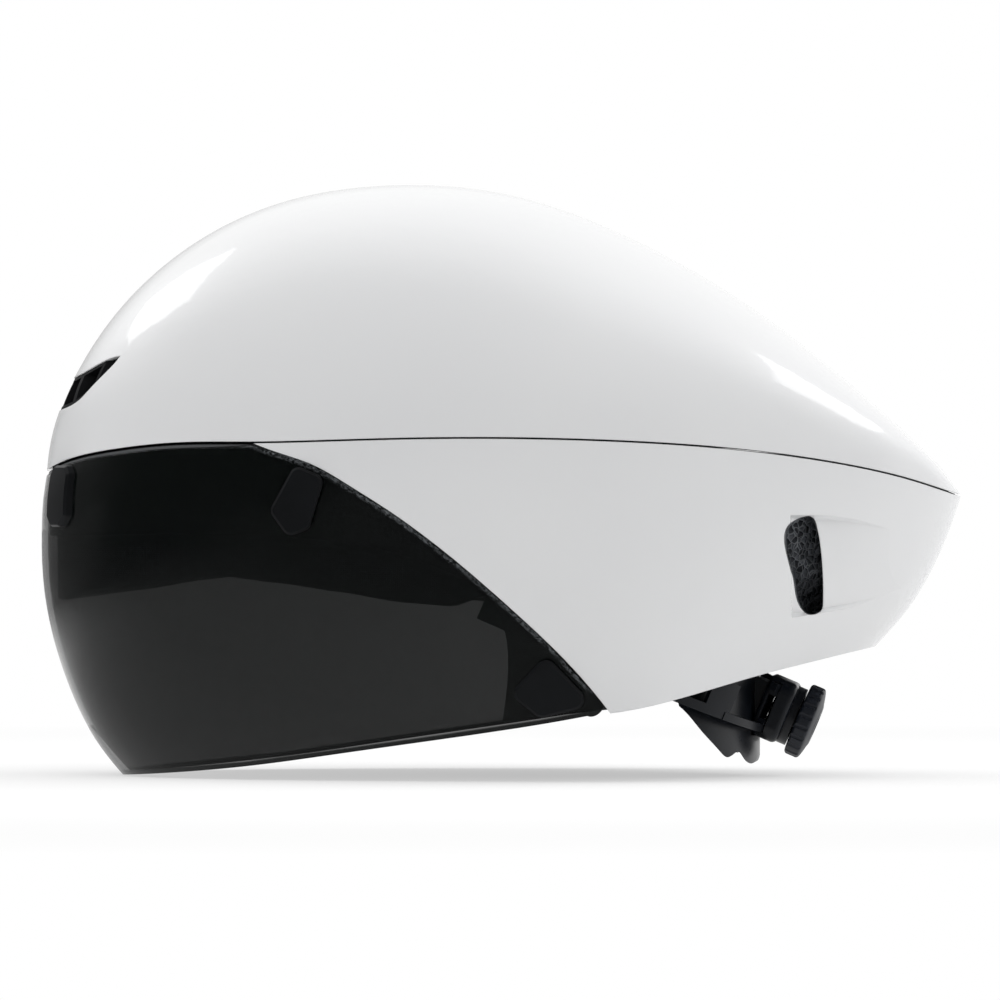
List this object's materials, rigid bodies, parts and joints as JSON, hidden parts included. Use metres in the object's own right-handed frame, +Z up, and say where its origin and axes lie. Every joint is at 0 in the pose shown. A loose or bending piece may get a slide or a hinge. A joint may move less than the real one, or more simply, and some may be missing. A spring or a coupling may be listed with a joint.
{
  "type": "aero time trial helmet",
  "caption": "Short-tail aero time trial helmet with a wraparound magnetic visor, foam liner and a dial-adjusted nape cradle.",
  "frame": {"origin": "centre of the outer box at the height of the visor's lowest edge", "axes": "+X towards the tail, -X towards the visor, +Y to the rider's right, +Z up"},
  "size_m": [0.3221, 0.2044, 0.2062],
  "materials": {
    "shell_white": "gloss",
    "foam_black": "beaded matt",
    "seat_black": "satin",
    "lens_smoke": "polished",
    "cap_black": "satin",
    "steel": "zinc plated",
    "magnet": "nickel plated",
    "pad_fabric": "knit",
    "nylon_black": "satin",
    "dial_rubber": "matt"
  },
  "bodies": {
    "helmet": {"upper_shell": "shell_white", "lower_shell": "shell_white", "vent_insert": "seat_black", "upper_liner": "foam_black", "lower_liner": "foam_black", "visor_frame": "seat_black", "brow_pad": "pad_fabric", "crown_pad_left": "pad_fabric", "crown_pad_right": "pad_fabric", "side_pad_left": "pad_fabric", "side_pad_right": "pad_fabric", "rear_pad": "pad_fabric", "height_rail": "seat_black", "steel_disc_front_left": "steel", "steel_disc_front_right": "steel", "steel_disc_side_left": "steel", "steel_disc_side_right": "steel", "steel_disc_rear_left": "steel", "steel_disc_rear_right": "steel"},
    "visor": {"visor_lens": "lens_smoke", "magnet_cap_front_left": "cap_black", "magnet_cap_front_right": "cap_black", "magnet_cap_side_left": "cap_black", "magnet_cap_side_right": "cap_black", "magnet_cap_rear_left": "cap_black", "magnet_cap_rear_right": "cap_black", "magnet_front_left": "magnet", "magnet_front_right": "magnet", "magnet_side_left": "magnet", "magnet_side_right": "magnet", "magnet_rear_left": "magnet", "magnet_rear_right": "magnet"},
    "cradle": {"nape_cradle": "nylon_black", "nape_pad_left": "pad_fabric", "nape_pad_right": "pad_fabric", "dial_housing": "nylon_black", "housing_cover": "nylon_black"},
    "dial": {"dial_knob": "dial_rubber", "dial_screw": "steel", "dial_pinion": "nylon_black", "click_spring": "steel"},
    "rack_left": {"rack_band_left": "nylon_black", "temple_pad_left": "pad_fabric"},
    "rack_right": {"rack_band_right": "nylon_black", "temple_pad_right": "pad_fabric"}
  },
  "joints": [
    {"name": "visor_pull", "type": "slide", "parent": "helmet", "child": "visor", "axis": [-1, 0, 0], "range_m": [0, 0.21]},
    {"name": "cradle_height", "type": "slide", "parent": "helmet", "child": "cradle", "axis": [0, 0, 1], "range_m": [0, 0.008]},
    {"name": "dial_turn", "type": "hinge", "parent": "cradle", "child": "dial", "pos_m": [0.1073, 0, 0.0186], "axis": [0.9205, 0, -0.3907], "range_deg": [-150, 150]},
    {"name": "rack_left_wrap", "type": "hinge", "parent": "cradle", "child": "rack_left", "pos_m": [0.02722, 0, 0.05259], "axis": [0.3907, 0, 0.9205], "range_deg": [-10, 10]},
    {"name": "rack_right_wrap", "type": "hinge", "parent": "cradle", "child": "rack_right", "pos_m": [0.02722, 0, 0.05259], "axis": [0.3907, 0, 0.9205], "range_deg": [-10, 10]}
  ],
  "couplings": [
    {"joint": "rack_left_wrap", "follows": "dial_turn", "ratio": 0.066667},
    {"joint": "rack_right_wrap", "follows": "dial_turn", "ratio": -0.066667}
  ]
}
